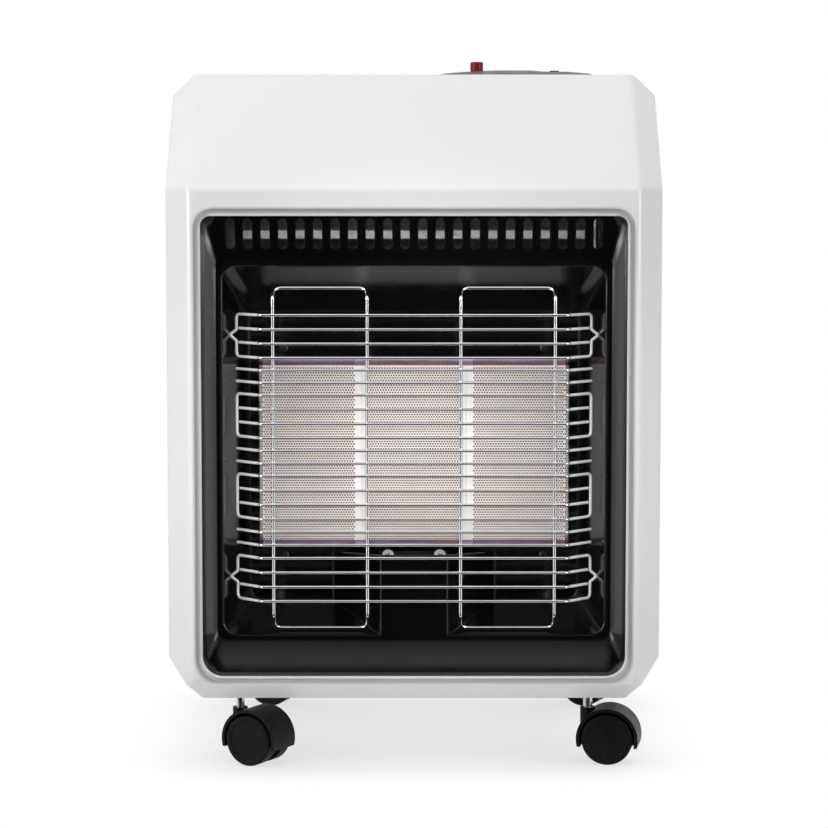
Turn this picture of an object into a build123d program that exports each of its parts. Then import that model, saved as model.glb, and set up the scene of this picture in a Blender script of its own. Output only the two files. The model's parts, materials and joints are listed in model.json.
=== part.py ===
from build123d import *
import os

os.makedirs("parts", exist_ok=True)

# Portable gas cabinet heater. Millimetres, +Z up, front towards -Y, +X to the
# viewer's right, origin on the floor under the middle of the cabinet.

# ---- cabinet -------------------------------------------------------------
WIDTH = 420.0
CAB_DEPTH = 366.0
REAR_REACH = 14.0
TOTAL_DEPTH = CAB_DEPTH + REAR_REACH
FRONT = -TOTAL_DEPTH / 2
BASE_Z = 61.0
TOP_Z = 594.5
SHEET = 1.2
SEAM = 0.4
SEAT = 0.3

SLANT_Z = TOP_Z - 97.5
SLANT_RUN = 99.0
SIDE_BEVEL = (21.0, 24.0)
FOOT_BEVEL = (17.5, 24.0)
LOW_CORNER = (27.0, 35.0)
TOP_CORNER = (20.0, 18.5)
BROW_R = 10.0
FOLD_R = 8.0

SEAM_DEPTH = 46.0
SEAM_TOP_RUN = 26.0
SIDE_SEAM_Z = TOP_Z - 19.5
LOW_FLANGE = 11.0
REAR_FLANGE = 14.0
REAR_SILL = 15.0

# ---- front opening, black surround and firebox ---------------------------
MOUTH_X = WIDTH / 2 - 31.0
MOUTH_Z = (BASE_Z + 23.4, SLANT_Z - 23.2)
MOUTH_R = (8.5, 17.0)
BEAD = (2.2, 3.3, 0.6)
LINER = 1.5
LINER_FRONT = 1.5
LINER_FLANGE = 3.0
FACE_DEPTH = 15.0
FACE_X = MOUTH_X - 11.0
FACE_Z = (MOUTH_Z[0] + 28.6, MOUTH_Z[1] - 34.5)
FACE_R = 10.0
POCKET_X = (MOUTH_X - 17.0, MOUTH_X - 35.5)
POCKET_Z0 = (MOUTH_Z[0] + 32.6, MOUTH_Z[0] + 52.6)
POCKET_Z1 = (MOUTH_Z[1] - 41.8, MOUTH_Z[1] - 83.3)
POCKET_R = 12.0
POCKET_DEPTH = 80.0

VENTS = 22
VENT_SPAN = 2 * MOUTH_X - 49.3
VENT_W = 7.4
VENT_Z = (MOUTH_Z[1] - 27.5, MOUTH_Z[1] - 2.1)

# ---- burner --------------------------------------------------------------
PLAQUES = 3
PLAQUE_PITCH = 2 * (POCKET_X[1] - 6.4) / PLAQUES
PLAQUE_GAP = 0.3
PLAQUE_Z = (POCKET_Z0[1] + 48.0, POCKET_Z1[1] - 41.9)
PLAQUE_T = 13.0
PLAQUE_DEPTH = POCKET_DEPTH + 2.0
TRIM_X = POCKET_X[1] - 8.7
TRIM_Z = (PLAQUE_Z[0], PLAQUE_Z[1] + 0.9)
TRIM_DEPTH = POCKET_DEPTH - 5.4
TRIM_LIP_X = 3.2
TRIM_LIP_Z = (4.7, 6.8)
TRIM_EDGE = 0.8
TRIM_NECK = 1.7
BOX_FLANGE = 11.0
BOX_CLEAR = 0.5
TUBE_DEPTH = PLAQUE_DEPTH + PLAQUE_T + 11.0
BOX_REAR_DEPTH = TUBE_DEPTH + 12.0
BURNER_SCREW_X = TRIM_X - 21.8
BURNER_SCREW_Z = (TRIM_Z[0] - 8.5, TRIM_Z[1] + 8.5)
BURNER_SCREW_R = 3.7
BURNER_SCREW_H = 2.2
SHANK_R = 1.9
SHANK_HOLE = 2.0

HOOD_TOP_Z = (PLAQUE_Z[0] + 1.0, PLAQUE_Z[0] - 5.0)
HOOD_X = (28.5, 70.0)

# ---- gas train -----------------------------------------------------------
VENTURI_R = (9.0, 7.6)
VENTURI_FLARE = 3.0
RAIL_Z = BASE_Z + 35.0
VENTURI_Z = RAIL_Z + 30.0
RAIL_X = (-PLAQUE_PITCH - 12.6, MOUTH_X - 31.0)
RAIL_SIZE = 12.0
INJECTOR_R = 4.0
INJECTOR_BORE = 1.0
INJECTOR_H = 16.0
RAIL_FOOT_X = 50.0
RAIL_FOOT = (18.0, 1.6)
PIPE_R = 4.0
PIPE_X = WIDTH / 2 - 50.0
PIPE_BEND = PIPE_X - RAIL_X[1]
PILOT_PIPE_R = 2.0
PILOT_PIPE_X = WIDTH / 2 - 40.0
PILOT_PIPE_DEPTH = TUBE_DEPTH + 16.0
PILOT_PIPE_Z = PLAQUE_Z[0] - 25.0
PILOT_PIPE_END_X = 14.0

PILOT_SCREW_X = 22.6
PILOT_SCREW_Z = PLAQUE_Z[0] - 8.0
PILOT_SCREW_R = 5.0
PILOT_SCREW_H = 3.2
BRACKET_X = 30.0
BRACKET_Z = (PLAQUE_Z[0] - 39.0, PLAQUE_Z[0] - 5.0)
PILOT_BLOCK = (16.0, 12.0, 18.0)
PILOT_BLOCK_Z = PLAQUE_Z[0] - 33.0
PILOT_NOZZLE_R = 3.5
PILOT_NOZZLE_H = 4.0
PROBE_R = 1.6
PROBE_X = (-10.0, 27.0)
PROBE_Z = (PLAQUE_Z[0] - 45.0, PLAQUE_Z[0] - 14.0)
PROBE_DEPTH = POCKET_DEPTH - 8.0
SLEEVE_R = 3.0
SLEEVE_H = 16.0

# ---- inner sheet work ----------------------------------------------------
PARTITION_DEPTH = BOX_REAR_DEPTH + 20.0
PARTITION_TOP = TOP_Z - 74.5
PARTITION_SLOTS = 7
PARTITION_SLOT = (70.0, 8.0)
PARTITION_SLOT_Z = TOP_Z - 194.5
PARTITION_SLOT_PITCH = 14.0
SHELF_X = MOUTH_X - 34.0
SHELF_Z = (MOUTH_Z[1] - 19.4, MOUTH_Z[1] - 12.6)
SHELF_DEPTH = 22.0
SHELF_TAIL = 14.0

# ---- guard ---------------------------------------------------------------
BAR_R = 1.2
UPRIGHT_R = 1.5
GUARD_DEPTH = 12.4
GUARD_FLAT_X = POCKET_X[0] - 32.8
GUARD_END_X = POCKET_X[0] - 10.9
GUARD_BEND = 3.0
LOOP_CORNER = 4.0
GUARD_Z = (POCKET_Z1[1] - 0.3, POCKET_Z0[1] + 9.4)
BAR_GAPS = (12.03, 10.57, 12.13, 10.8, 12.3, 11.1, 12.33)
BARS_PER_GAP = 3
LOOPS = 4
HOOK_HALF = 4.8
HOOK_REACH = 6.0
HOOK_HOLE_R = 2.5
WELD = 0.25
UPRIGHT_X = (GUARD_FLAT_X - 89.6, GUARD_FLAT_X - 9.8)
UPRIGHT_Z = (GUARD_Z[1] - 12.2, GUARD_Z[0] + 14.6)
UPRIGHT_END_Z = (POCKET_Z0[0] + 4.7, GUARD_Z[0] + 22.6)
UPRIGHT_BACK = 9.0
UPRIGHT_CORNER = 7.0

# ---- controls ------------------------------------------------------------
PLATE_X = (WIDTH / 2 - 192.0, WIDTH / 2 - 47.0)
PLATE_Y = (FRONT + 135.0, FRONT + 205.0)
PLATE_CREST = 5.8
PLATE_EDGE = 0.8
PLATE_R = 26.0
CUP_X = PLATE_X[1] - 38.5
CUP_R = 22.0
CUP_WALL = 1.5
CUP_FLOOR_Z = TOP_Z - 10.0
COLLAR_X = PLATE_X[0] + 38.0
COLLAR_WALL = 2.2
COLLAR_Z = TOP_Z - 14.5
BUTTON_R = 5.75
BUTTON_TOP = TOP_Z + 13.2
BUTTON_FOOT = TOP_Z - 8.5
BUTTON_EDGE = 0.9
RUN = 0.05
PLUNGER_R = 2.5
PLUNGER_Z = TOP_Z - 38.5
PIEZO_Z = (TOP_Z - 50.5, TOP_Z - 28.5)
KNOB_R = 20.4
KNOB_Z = (TOP_Z - 6.5, TOP_Z - 2.5)
KNOB_TOP = TOP_Z + 4.9
GRIP_W = 7.6
SPINDLE_R = 3.0
SPINDLE_TIP = 4.0
SPINDLE_Z = (TOP_Z - 43.5, TOP_Z - 24.5)
VALVE = (36.0, 34.0)
VALVE_Z = (TOP_Z - 58.5, TOP_Z - 26.5)
BONNET_R = 12.0
PLUG_R = 8.0
PLUG_Z = (TOP_Z - 48.5, TOP_Z - 20.5)
PORT_Z = TOP_Z - 42.5
TAIL_R = 4.2
TAIL_BORE = 2.2
TAIL_NUT_R = 7.0
TAIL_NUT = 7.0
TAIL_LENGTH = 30.0

# ---- rear door -----------------------------------------------------------
DOOR_DEPTH = 7.4
DOOR_INSET = 3.0
DOOR_LEFT = 11.4 - WIDTH / 2
LOUVRE = (88.0, 6.0)
LOUVRE_PITCH = 16.0
LOUVRES = 6
LOUVRE_X = 75.0
LOUVRE_Z = (BASE_Z + 49.0, TOP_Z - 174.5)
HINGE_X = 6.0 - WIDTH / 2
KNUCKLE_R = 3.0
PIN_R = 1.5
HINGE_Z = (BASE_Z + 89.0, TOP_Z - 104.5)
KNUCKLE_H = 10.0
LEAF = (1.2, 3.2)
LATCH_X = WIDTH / 2 - 24.0
LATCH_Z = (BASE_Z + TOP_Z) / 2
LATCH_R = 13.0
LATCH_PLATE = 2.0
LATCH_BAR = 6.0
LATCH_SHAFT_R = 4.0
CAM = (20.0, 10.0, 2.0)

# ---- casters -------------------------------------------------------------
WHEEL_R = 22.0
WHEEL_V = (4.2, 18.2)
WHEEL_EDGE = 1.8
WHEEL_DISH = (16.5, 0.7)
TRAIL = 18.6
FENDER_R = (24.0, 26.8)
FENDER_V = 17.0
FENDER_TIP_Z = 15.0
WEB_V = 3.7
BOSS_R = 6.5
BOSS_Z = 47.4
STEM_R = 3.9
STEM_SHOULDER_Z = 42.5
STEM_PIN_R = 2.0
STEM_Z = (28.0, BASE_Z + 23.0)
AXLE_R = 2.5
AXLE_V = 16.0
SOCKET_R = 6.5
SOCKET_FLANGE = (10.0, 2.0)
CASTER_X = WIDTH / 2 - 59.0
CASTER_Y = (FRONT + 55.0, FRONT + CAB_DEPTH - 48.0)
CASTERS = {
    "front_left": (-CASTER_X, CASTER_Y[0], 30.0),
    "front_right": (CASTER_X, CASTER_Y[0], 10.5),
    "rear_left": (-CASTER_X, CASTER_Y[1], 18.0),
    "rear_right": (CASTER_X, CASTER_Y[1], 24.0),
}


# ---- helpers -------------------------------------------------------------
def at(depth):
    """Y of a point lying this far behind the front face."""
    return FRONT + depth


def block(xs, ys, zs):
    """Box between three pairs of limits."""
    size = [hi - lo for lo, hi in (xs, ys, zs)]
    middle = [(hi + lo) / 2 for lo, hi in (xs, ys, zs)]
    return Pos(*middle) * Box(*size)


def rod_z(x, y, z0, z1, radius):
    """Upright round bar."""
    return Pos(x, y, (z0 + z1) / 2) * Cylinder(radius, z1 - z0)


def rod_y(x, y0, y1, z, radius):
    """Round bar running front to back."""
    return Pos(x, (y0 + y1) / 2, z) * Rot(90, 0, 0) * Cylinder(radius, y1 - y0)


def bent_rod(points, radius, bend):
    """Round wire or pipe along straight runs joined by bends."""
    path = FilletPolyline(*points, radius=bend)
    section = Plane(origin=path @ 0, z_dir=path % 0) * Circle(radius)
    return sweep(section, path=path)


def group(solids):
    """Separate solids kept side by side in one node."""
    return Compound(children=[piece for item in solids for piece in item.solids()])


def both_sides(shape):
    """A shape and its mirror image across the middle of the cabinet."""
    return [shape, mirror(shape, about=Plane.YZ)]


def rounded_rect(depth, x_half, z_low, z_high, radii):
    """Face across the cabinet with its own top and bottom corner radii."""
    middle_z = (z_low + z_high) / 2
    plane = Plane(origin=(0, at(depth), middle_z), x_dir=(1, 0, 0), z_dir=(0, -1, 0))
    face = Rectangle(2 * x_half, z_high - z_low)
    face = fillet(face.vertices().sort_by(Axis.Y)[:2], radii[1])
    face = fillet(face.vertices().sort_by(Axis.Y)[-2:], radii[0])
    return plane * face


# ---- cabinet envelope ----------------------------------------------------
def envelope_planes():
    """Outer planes of the cabinet as a point and an outward normal."""
    half = WIDTH / 2
    flat_x = half - SIDE_BEVEL[0]
    rise = TOP_Z - SLANT_Z
    bevel_x, bevel_y = SIDE_BEVEL
    planes = [((0, at(0), SLANT_Z), (0, -rise, SLANT_RUN)),
              ((0, at(0), BASE_Z + FOOT_BEVEL[0]), (0, -FOOT_BEVEL[0], -FOOT_BEVEL[1]))]
    for side in (-1, 1):
        planes += [
            ((side * flat_x, at(0), 0), (side * bevel_y, -bevel_x, 0)),
            ((side * flat_x, at(0), SLANT_Z),
             (side * bevel_y * rise, -bevel_x * rise, bevel_x * SLANT_RUN)),
            ((side * half, 0, BASE_Z + LOW_CORNER[1]), (side * LOW_CORNER[1], 0, -LOW_CORNER[0])),
            ((side * half, 0, TOP_Z - TOP_CORNER[1]), (side * TOP_CORNER[1], 0, TOP_CORNER[0])),
        ]
    return planes


def envelope(inset):
    """Cabinet body drawn in by one wall thickness, with its folds rounded."""
    half = WIDTH / 2 - inset
    body = block((-half, half), (at(inset), at(CAB_DEPTH - inset)), (BASE_Z + inset, TOP_Z - inset))
    for point, normal in envelope_planes():
        direction = Vector(*normal).normalized()
        plane = Plane(origin=Vector(*point) - direction * inset, z_dir=direction)
        body = split(body, bisect_by=plane, keep=Keep.BOTTOM)
    low, high = BASE_Z + inset + SHEET, TOP_Z - inset - SHEET
    behind = at(SLANT_RUN) - 2 * SHEET
    folds = body.edges().filter_by(
        lambda edge: edge.center().Y < behind and low < edge.center().Z < high)
    body = fillet(folds, FOLD_R - inset)
    brow = body.edges().filter_by(Axis.X).filter_by(
        lambda edge: edge.center().Z > SIDE_SEAM_Z and edge.center().Y < 0)
    return fillet(brow.sort_by(Axis.Z)[-1:], BROW_R - inset)


def octagon(inset, depth, thickness):
    """Plate with the cabinet's outline, cut corners included, seen from the front."""
    half = WIDTH / 2 - inset
    plate = block((-half, half), (at(depth), at(depth + thickness)), (BASE_Z + inset, TOP_Z - inset))
    for point, normal in envelope_planes():
        if normal[1] == 0:
            direction = Vector(*normal).normalized()
            plane = Plane(origin=Vector(*point) - direction * inset, z_dir=direction)
            plate = split(plate, bisect_by=plane, keep=Keep.BOTTOM)
    return plate


def front_zone(gap):
    """Space ahead of the seam between the front moulding and the rest."""
    knee_z = SLANT_Z - SEAM_DEPTH / 2
    top_z = TOP_Z + WIDTH
    slope = (SLANT_RUN + SEAM_TOP_RUN - SEAM_DEPTH) / (TOP_Z - knee_z)
    back = SEAM_DEPTH + gap
    outline = [(at(-WIDTH), 0), (at(back), 0), (at(back), knee_z),
               (at(back + slope * (top_z - knee_z)), top_z), (at(-WIDTH), top_z)]
    profile = Plane.YZ * make_face(Polyline(*outline, close=True))
    return extrude(profile, WIDTH, both=True)


# ---- front, sides, top and base ------------------------------------------
def mouth(inset, depths):
    """Prism through the front opening, larger by the inset."""
    face = rounded_rect(depths[0], MOUTH_X + inset, MOUTH_Z[0] - inset, MOUTH_Z[1] + inset,
                        [radius + inset for radius in MOUTH_R])
    return extrude(face, depths[1] - depths[0], dir=(0, 1, 0))


def front_panel(shell):
    """Front moulding with its opening and the pressed groove round it."""
    groove_in, groove_w, groove_d = BEAD
    reach = (-SHEET, groove_d)
    groove = mouth(groove_in + groove_w, reach) - mouth(groove_in, reach)
    return (shell & front_zone(0)) - mouth(0, (-SHEET, SEAM_DEPTH / 2)) - groove


def side_panel(shell, side):
    """One side with its low corner fold and its rear flange."""
    inner = WIDTH / 2 - LOW_CORNER[0] - LOW_FLANGE
    xs = sorted((side * inner, side * WIDTH))
    zone = block(xs, (-WIDTH, WIDTH), (0, SIDE_SEAM_Z - SEAM))
    doorway = block((REAR_FLANGE - WIDTH / 2, WIDTH / 2 - REAR_FLANGE),
                    (at(CAB_DEPTH - 2 * SHEET), WIDTH), (BASE_Z + SHEET, TOP_Z))
    return (shell & zone) - front_zone(SEAM) - doorway


def top_panel(shell):
    """Top sheet with both cut corners, a rear flange and two control holes."""
    zone = block((-WIDTH, WIDTH), (-WIDTH, WIDTH), (SIDE_SEAM_Z, TOP_Z + SHEET))
    middle = sum(PLATE_Y) / 2
    holes = rod_z(CUP_X, middle, SIDE_SEAM_Z, TOP_Z + SHEET, CUP_R + CUP_WALL + SEAT)
    holes += rod_z(COLLAR_X, middle, SIDE_SEAM_Z, TOP_Z + SHEET,
                   BUTTON_R + RUN + COLLAR_WALL + SEAT)
    return (shell & zone) - front_zone(SEAM) - holes


def base_plate():
    """Floor of the cabinet, turned up along the rear."""
    half = WIDTH / 2 - LOW_CORNER[0] - SHEET - SEAT
    low = BASE_Z + SHEET
    rear = at(CAB_DEPTH) - SHEET - SEAT
    floor = block((-half, half), (at(FOOT_BEVEL[1] + SHEET), rear), (low, low + 2 * SHEET))
    sill = block((-half, half), (rear - SHEET, rear), (low, low + REAR_SILL))
    plate = floor + sill
    for x, y, _ in CASTERS.values():
        plate -= rod_z(x, y, 0, low + REAR_SILL, SOCKET_R + SEAT)
    return plate


# ---- surround ------------------------------------------------------------
def funnel(front, rear):
    """Tapering body between two rounded rectangles given as depth, x, z0, z1, radii."""
    return loft([rounded_rect(*front), rounded_rect(*rear)], ruled=True)


def surround_body(grow, lag):
    """Dished face and firebox pocket as one solid, grown by a wall."""
    rim = (LINER_FRONT, MOUTH_X + grow, MOUTH_Z[0] - grow, MOUTH_Z[1] + grow,
           [radius + grow for radius in MOUTH_R])
    face = (FACE_DEPTH + lag, FACE_X + grow, FACE_Z[0] - grow, FACE_Z[1] + grow,
            [FACE_R + grow] * 2)
    lip = (FACE_DEPTH + lag, POCKET_X[0] + grow, POCKET_Z0[0] - grow, POCKET_Z1[0] + grow,
           [POCKET_R + grow] * 2)
    back = (POCKET_DEPTH + lag, POCKET_X[1] + grow, POCKET_Z0[1] - grow, POCKET_Z1[1] + grow,
            [POCKET_R + grow] * 2)
    return funnel(rim, face) + funnel(lip, back)


def pilot_hood(inset, rise):
    """Wedge standing out of the pocket floor, flush with the face."""
    half = [x - inset * 1.6 for x in HOOD_X]
    front_y = at(FACE_DEPTH + inset)
    back_y = at(POCKET_DEPTH + inset / 2)
    plan = Polyline((-half[0], front_y), (half[0], front_y), (half[1], back_y),
                    (-half[1], back_y), close=True)
    body = extrude(Plane.XY * make_face(plan), HOOD_TOP_Z[0] + rise)
    run = POCKET_DEPTH - FACE_DEPTH
    slope = Vector(0, HOOD_TOP_Z[0] - HOOD_TOP_Z[1], run).normalized()
    lid = Plane(origin=(0, at(FACE_DEPTH), HOOD_TOP_Z[0] + rise), z_dir=slope)
    return split(body, bisect_by=lid, keep=Keep.BOTTOM)


def vent_slots():
    """Row of round-ended slots through the sloping strip."""
    reach = 2 * FACE_DEPTH
    low, high = VENT_Z
    plane = Plane(origin=(0, at(-SHEET), (low + high) / 2), x_dir=(1, 0, 0), z_dir=(0, 1, 0))
    slot = SlotOverall(high - low, VENT_W, rotation=90)
    pitch = VENT_SPAN / (VENTS - 1)
    row = Sketch() + [spot * slot for spot in GridLocations(pitch, 0, VENTS, 1)]
    return extrude(plane * row, reach)


def hook_holes():
    """Holes in the pocket sides that take the guard's hooks."""
    depth = GUARD_DEPTH + GUARD_END_X - GUARD_FLAT_X
    holes = []
    for loop in hooked_loops():
        z = sum(loop) / 2
        bore = Pos(0, at(depth), z) * Rot(0, 90, 0) * Cylinder(HOOK_HOLE_R, WIDTH)
        holes.append(bore)
    return holes


def firebox_surround():
    """Black enamelled face, vent strip, sill and firebox pocket in one pressing."""
    flange = mouth(LINER_FLANGE, (LINER_FRONT, LINER_FRONT + LINER))
    air = surround_body(0, 0) + mouth(0, (0, LINER_FRONT + SEAM / 8))
    hood = pilot_hood(0, 0) & surround_body(LINER / 2, LINER / 2)
    body = surround_body(LINER, LINER) + flange - air
    body += hood
    body -= pilot_hood(LINER, SHEET) & surround_body(0, 0)
    window = (-TRIM_X + TRIM_EDGE, TRIM_X - TRIM_EDGE)
    body -= block(window, (at(FACE_DEPTH + 2 * LINER), at(BOX_REAR_DEPTH)),
                  (TRIM_Z[0] + TRIM_EDGE, TRIM_Z[1] - TRIM_EDGE)) & back_slab()
    body -= vent_slots()
    for hole in hook_holes():
        body -= hole
    for x, z, radius in liner_holes():
        body -= rod_y(x, at(POCKET_DEPTH - LINER), at(POCKET_DEPTH + 2 * LINER), z, radius)
    return body


def back_slab():
    """Thin zone that holds the pocket's back wall."""
    return block((-WIDTH, WIDTH), (at(POCKET_DEPTH - SEAM), at(POCKET_DEPTH + 2 * LINER)),
                 (0, TOP_Z))


def liner_holes():
    """Screw and pipe holes through the pocket's back wall."""
    holes = [(x, z, SHANK_HOLE) for x in (-BURNER_SCREW_X, BURNER_SCREW_X) for z in BURNER_SCREW_Z]
    holes += [(x, PILOT_SCREW_Z, SHANK_HOLE) for x in (-PILOT_SCREW_X, PILOT_SCREW_X)]
    holes.append((PILOT_PIPE_END_X, PILOT_PIPE_Z, PILOT_PIPE_R + SEAT))
    return holes


# ---- burner --------------------------------------------------------------
def plaque(index):
    """One ceramic plate of the radiant burner."""
    middle = (index - (PLAQUES - 1) / 2) * PLAQUE_PITCH
    half = (PLAQUE_PITCH - PLAQUE_GAP) / 2
    return block((middle - half, middle + half), (at(PLAQUE_DEPTH), at(PLAQUE_DEPTH + PLAQUE_T)),
                 PLAQUE_Z)


def burner_trim():
    """Bright frame with a bevelled lip, holding the ceramic plates."""
    front = at(TRIM_DEPTH)
    seat = at(POCKET_DEPTH)
    rear = at(PLAQUE_DEPTH - SEAT)
    head = block((-TRIM_X, TRIM_X), (front, seat), TRIM_Z)
    neck = block((-TRIM_X + TRIM_NECK, TRIM_X - TRIM_NECK), (front, rear),
                 (TRIM_Z[0] + TRIM_NECK, TRIM_Z[1] - TRIM_NECK))
    inner_x = TRIM_X - TRIM_LIP_X
    inner_z = (TRIM_Z[0] + TRIM_LIP_Z[0], TRIM_Z[1] - TRIM_LIP_Z[1])
    middle = sum(inner_z) / 2
    window = block((-inner_x, inner_x), (front, rear), inner_z)
    mouth_z = (TRIM_Z[0] + TRIM_EDGE, TRIM_Z[1] - TRIM_EDGE)
    wide = Plane(origin=(0, front, sum(mouth_z) / 2), x_dir=(1, 0, 0), z_dir=(0, -1, 0)) * Rectangle(
        2 * (TRIM_X - TRIM_EDGE), mouth_z[1] - mouth_z[0])
    tight = Plane(origin=(0, rear, middle), x_dir=(1, 0, 0), z_dir=(0, -1, 0)) * Rectangle(
        2 * inner_x, inner_z[1] - inner_z[0])
    return head + neck - window - loft([wide, tight], ruled=True)


def burner_box():
    """Steel box behind the plates with a flange on the pocket's back wall."""
    half = PLAQUES * PLAQUE_PITCH / 2 + BOX_CLEAR
    low, high = PLAQUE_Z[0] - BOX_CLEAR, PLAQUE_Z[1] + BOX_CLEAR
    front = at(POCKET_DEPTH + LINER + SEAT)
    rear = at(BOX_REAR_DEPTH)
    flange = block((-half - BOX_FLANGE, half + BOX_FLANGE), (front, front + SHEET),
                   (low - BOX_FLANGE, high + BOX_FLANGE))
    tub = block((-half - SHEET, half + SHEET), (front, rear), (low - SHEET, high + SHEET))
    hollow = block((-half, half), (front - SHEET, rear - SHEET), (low, high))
    ledge = block((-half, half), (at(PLAQUE_DEPTH + PLAQUE_T), rear - SHEET), (low, high))
    inner = BOX_FLANGE / 2
    ledge -= block((-half + inner, half - inner), (front, rear), (low + inner, high - inner))
    box = flange + tub - hollow + ledge
    for x, z, radius in liner_holes()[:-1]:
        box -= rod_y(x, front - SHEET, front + 2 * SHEET, z, radius)
    for x in tube_xs():
        box -= rod_z(x, at(TUBE_DEPTH), low - 2 * SHEET, low + BOX_FLANGE, VENTURI_R[0] + SEAT)
    return box


def tube_xs():
    """Middle of each plate, where its mixing tube stands."""
    return [(index - (PLAQUES - 1) / 2) * PLAQUE_PITCH for index in range(PLAQUES)]


def venturi_tubes():
    """Mixing tubes that feed the box from below."""
    outer, inner = VENTURI_R
    top = PLAQUE_Z[0] + SHEET
    wall = outer - inner
    mouth_z = VENTURI_Z
    neck_z = VENTURI_Z + 2 * VENTURI_FLARE
    outline = [(outer, top), (outer, neck_z), (outer + VENTURI_FLARE, mouth_z),
               (outer + VENTURI_FLARE - wall, mouth_z), (inner, neck_z), (inner, top)]
    tube = revolve(Plane.XZ * make_face(Polyline(*outline, close=True)), Axis.Z)
    return group([Pos(x, at(TUBE_DEPTH), 0) * tube for x in tube_xs()])


def injector_rail():
    """Gas rail with an upright injector under each mixing tube."""
    middle = at(TUBE_DEPTH)
    half = RAIL_SIZE / 2
    rail = block(RAIL_X, (middle - half, middle + half), (RAIL_Z, RAIL_Z + RAIL_SIZE))
    top = RAIL_Z + RAIL_SIZE
    for x in tube_xs():
        rail += rod_z(x, middle, top, top + INJECTOR_H, INJECTOR_R)
        rail -= rod_z(x, middle, top, top + INJECTOR_H, INJECTOR_BORE)
    return rail


def rail_feet():
    """Folded feet that hold the rail above the base."""
    width, wall = RAIL_FOOT
    floor = BASE_Z + 3 * SHEET
    middle = at(TUBE_DEPTH)
    feet = []
    for x in (-RAIL_FOOT_X, RAIL_FOOT_X):
        xs = (x - width / 2, x + width / 2)
        post = block(xs, (middle, middle + wall), (floor, RAIL_Z))
        sole = block(xs, (middle, middle + width), (floor, floor + wall))
        cap = block(xs, (middle - RAIL_SIZE / 2, middle + wall), (RAIL_Z - wall, RAIL_Z))
        feet.append(post + sole + cap)
    return group(feet)


def gas_pipe():
    """Supply pipe from the valve down to the rail."""
    back = at(TUBE_DEPTH)
    x0 = CUP_X - VALVE[0] / 4
    valve_front = sum(PLATE_Y) / 2 - VALVE[1] / 2
    z = RAIL_Z + RAIL_SIZE / 2
    points = [(x0, valve_front, PORT_Z), (x0, back, PORT_Z), (PIPE_X, back, PORT_Z),
              (PIPE_X, back, z), (RAIL_X[1], back, z)]
    return bent_rod(points, PIPE_R, [PIPE_BEND, PIPE_BEND, PIPE_BEND - SHEET])


def pilot_pipe():
    """Thin pipe from the valve to the pilot burner."""
    back = at(PILOT_PIPE_DEPTH)
    x0 = CUP_X + VALVE[0] / 4
    valve_front = sum(PLATE_Y) / 2 - VALVE[1] / 2
    end = at(PROBE_DEPTH) + PILOT_BLOCK[1] / 2
    points = [(x0, valve_front, PORT_Z), (x0, back, PORT_Z), (PILOT_PIPE_X, back, PORT_Z),
              (PILOT_PIPE_X, back, PILOT_PIPE_Z), (PILOT_PIPE_END_X, back, PILOT_PIPE_Z),
              (PILOT_PIPE_END_X, end, PILOT_PIPE_Z)]
    return bent_rod(points, PILOT_PIPE_R, PIPE_BEND / 2)


def pan_screw(x, z, seat_depth, radius, height, reach):
    """Pan-head screw driven in from the front."""
    outline = [(0, 0), (radius, 0), (radius, height / 2), (radius * 0.72, height * 0.9),
               (radius * 0.3, height), (0, height)]
    head = revolve(Plane.XZ * make_face(Polyline(*outline, close=True)), Axis.Z)
    shank = rod_z(0, 0, -reach, 0, SHANK_R)
    return Pos(x, at(seat_depth), z) * Rot(90, 0, 0) * (head + shank)


def burner_screws():
    """Screws in the four corners of the pocket's back wall."""
    reach = LINER + SEAT + 3 * SHEET
    return group([pan_screw(x, z, POCKET_DEPTH, BURNER_SCREW_R, BURNER_SCREW_H, reach)
                  for x in (-BURNER_SCREW_X, BURNER_SCREW_X) for z in BURNER_SCREW_Z])


def pilot_screws():
    """Bright screws that hold the pilot bracket."""
    seat = POCKET_DEPTH - SHEET
    reach = SHEET + LINER + SEAT + 3 * SHEET
    return group([pan_screw(x, PILOT_SCREW_Z, seat, PILOT_SCREW_R, PILOT_SCREW_H, reach)
                  for x in (-PILOT_SCREW_X, PILOT_SCREW_X)])


def pilot_bracket():
    """Plate behind the hood that carries the pilot parts."""
    rear = at(POCKET_DEPTH)
    plate = block((-BRACKET_X, BRACKET_X), (rear - SHEET, rear), BRACKET_Z)
    arm_z = PILOT_BLOCK_Z - SHEET
    plate += block((-BRACKET_X / 2, BRACKET_X), (at(PROBE_DEPTH) - SLEEVE_R, rear),
                   (arm_z - SHEET, arm_z))
    for x in (-PILOT_SCREW_X, PILOT_SCREW_X):
        plate -= rod_y(x, rear - 2 * SHEET, rear + SHEET, PILOT_SCREW_Z, SHANK_HOLE)
    plate -= rod_y(PILOT_PIPE_END_X, rear - 2 * SHEET, rear + SHEET, PILOT_PIPE_Z,
                   PILOT_PIPE_R + SEAT)
    for x in PROBE_X:
        plate -= rod_z(x, at(PROBE_DEPTH), arm_z - 2 * SHEET, arm_z + SHEET, PROBE_R + RUN)
    return plate


def pilot_burner():
    """Small brass pilot block with its nozzle."""
    width, thick, height = PILOT_BLOCK
    x = PILOT_PIPE_END_X - width / 4
    y = at(PROBE_DEPTH)
    low = PILOT_BLOCK_Z - SHEET
    body = block((x - width / 2, x + width / 2), (y - thick / 2, y + thick / 2),
                 (low, low + height - PILOT_NOZZLE_H))
    return body + rod_z(x, y, low + height - PILOT_NOZZLE_H, low + height, PILOT_NOZZLE_R)


def probe(x):
    """Thin rod standing through the bracket's arm."""
    return rod_z(x, at(PROBE_DEPTH), PROBE_Z[0], PROBE_Z[1], PROBE_R)


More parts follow.
